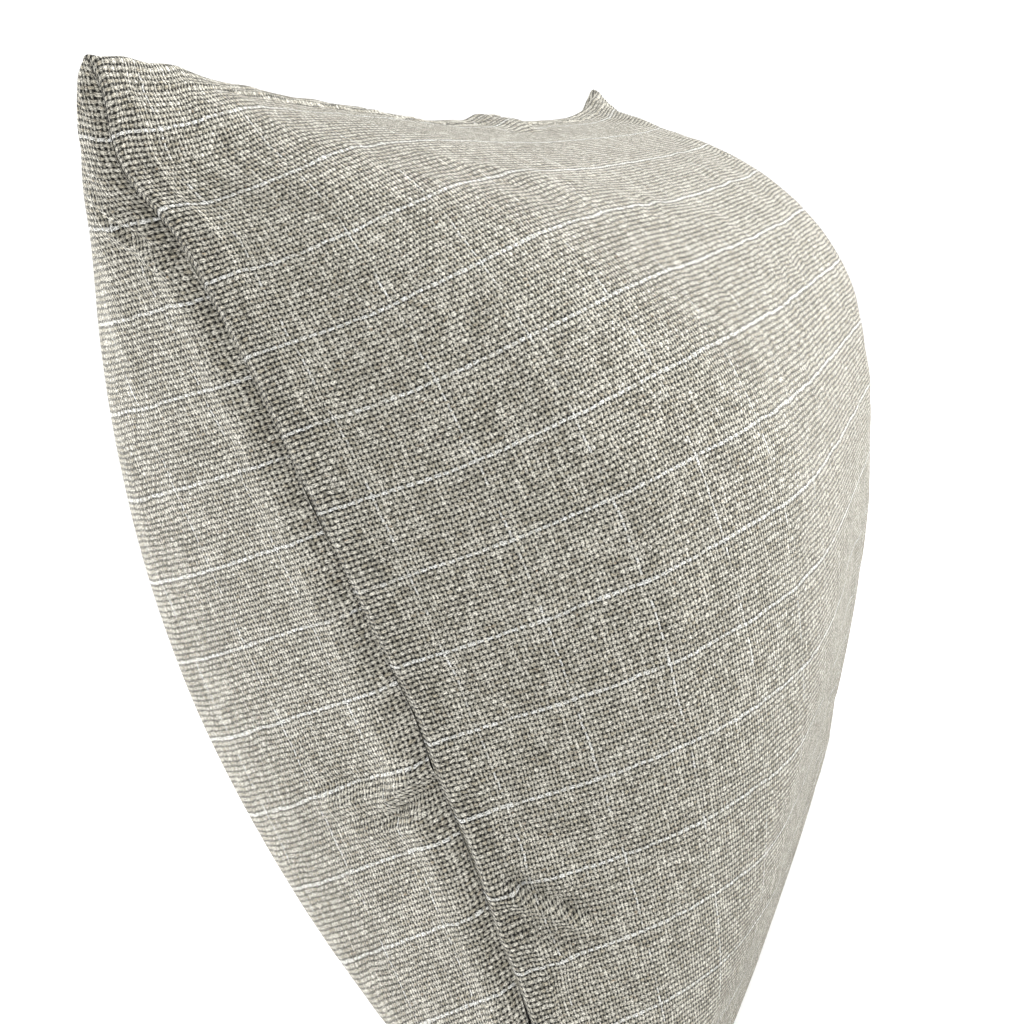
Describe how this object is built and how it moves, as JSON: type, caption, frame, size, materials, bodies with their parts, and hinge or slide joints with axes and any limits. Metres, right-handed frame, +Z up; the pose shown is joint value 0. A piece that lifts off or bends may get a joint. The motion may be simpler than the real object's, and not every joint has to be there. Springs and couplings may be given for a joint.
{
  "type": "throw pillow",
  "caption": "Square knife-edge throw pillow: woven two-panel cover, coil zipper in the bottom seam, fibre-filled insert inside.",
  "frame": {"origin": "middle of the pillow's footprint, on the floor it stands on", "axes": "+Z up to the top seam, X across the panels, front panel towards -Y"},
  "size_m": [0.49, 0.276, 0.467],
  "materials": {
    "cover_fabric": "chunky slubby plain weave in oatmeal and grey, with thin white windowpane slubs",
    "insert_casing": "fine white plain weave",
    "fibre_fill": "white fibre wadding",
    "sewing_thread": "spun polyester thread",
    "label_satin": "blank satin ribbon",
    "zip_tape": "woven polyester tape",
    "zip_coil": "satin nylon coil",
    "zip_metal": "nickel plated, lightly brushed"
  },
  "bodies": {
    "pillow": {"cover_front": "cover_fabric", "cover_back": "cover_fabric", "insert_casing_front": "insert_casing", "insert_casing_back": "insert_casing", "insert_fibre_fill": "fibre_fill", "cover_overlock_thread": "sewing_thread", "insert_seam_thread": "sewing_thread", "insert_closing_thread": "sewing_thread", "care_label": "label_satin", "zip_tape_front": "zip_tape", "zip_tape_back": "zip_tape", "zip_coil_front": "zip_coil", "zip_coil_back": "zip_coil", "zip_stitching_front": "sewing_thread", "zip_stitching_back": "sewing_thread", "zip_top_stop_front": "zip_metal", "zip_top_stop_back": "zip_metal", "zip_bottom_stop": "zip_metal", "zip_bartack_left": "sewing_thread", "zip_bartack_right": "sewing_thread"},
    "slider": {"zip_slider": "zip_metal"},
    "pull": {"zip_pull": "zip_metal"}
  },
  "joints": [
    {"name": "zip_slide", "type": "slide", "parent": "pillow", "child": "slider", "axis": [1, 0, 0], "range_m": [0, 0.339]},
    {"name": "pull_swing", "type": "hinge", "parent": "slider", "child": "pull", "pos_m": [-0.1695, 0, 0.00195], "axis": [0, 1, 0], "range_deg": [0, 178]}
  ]
}
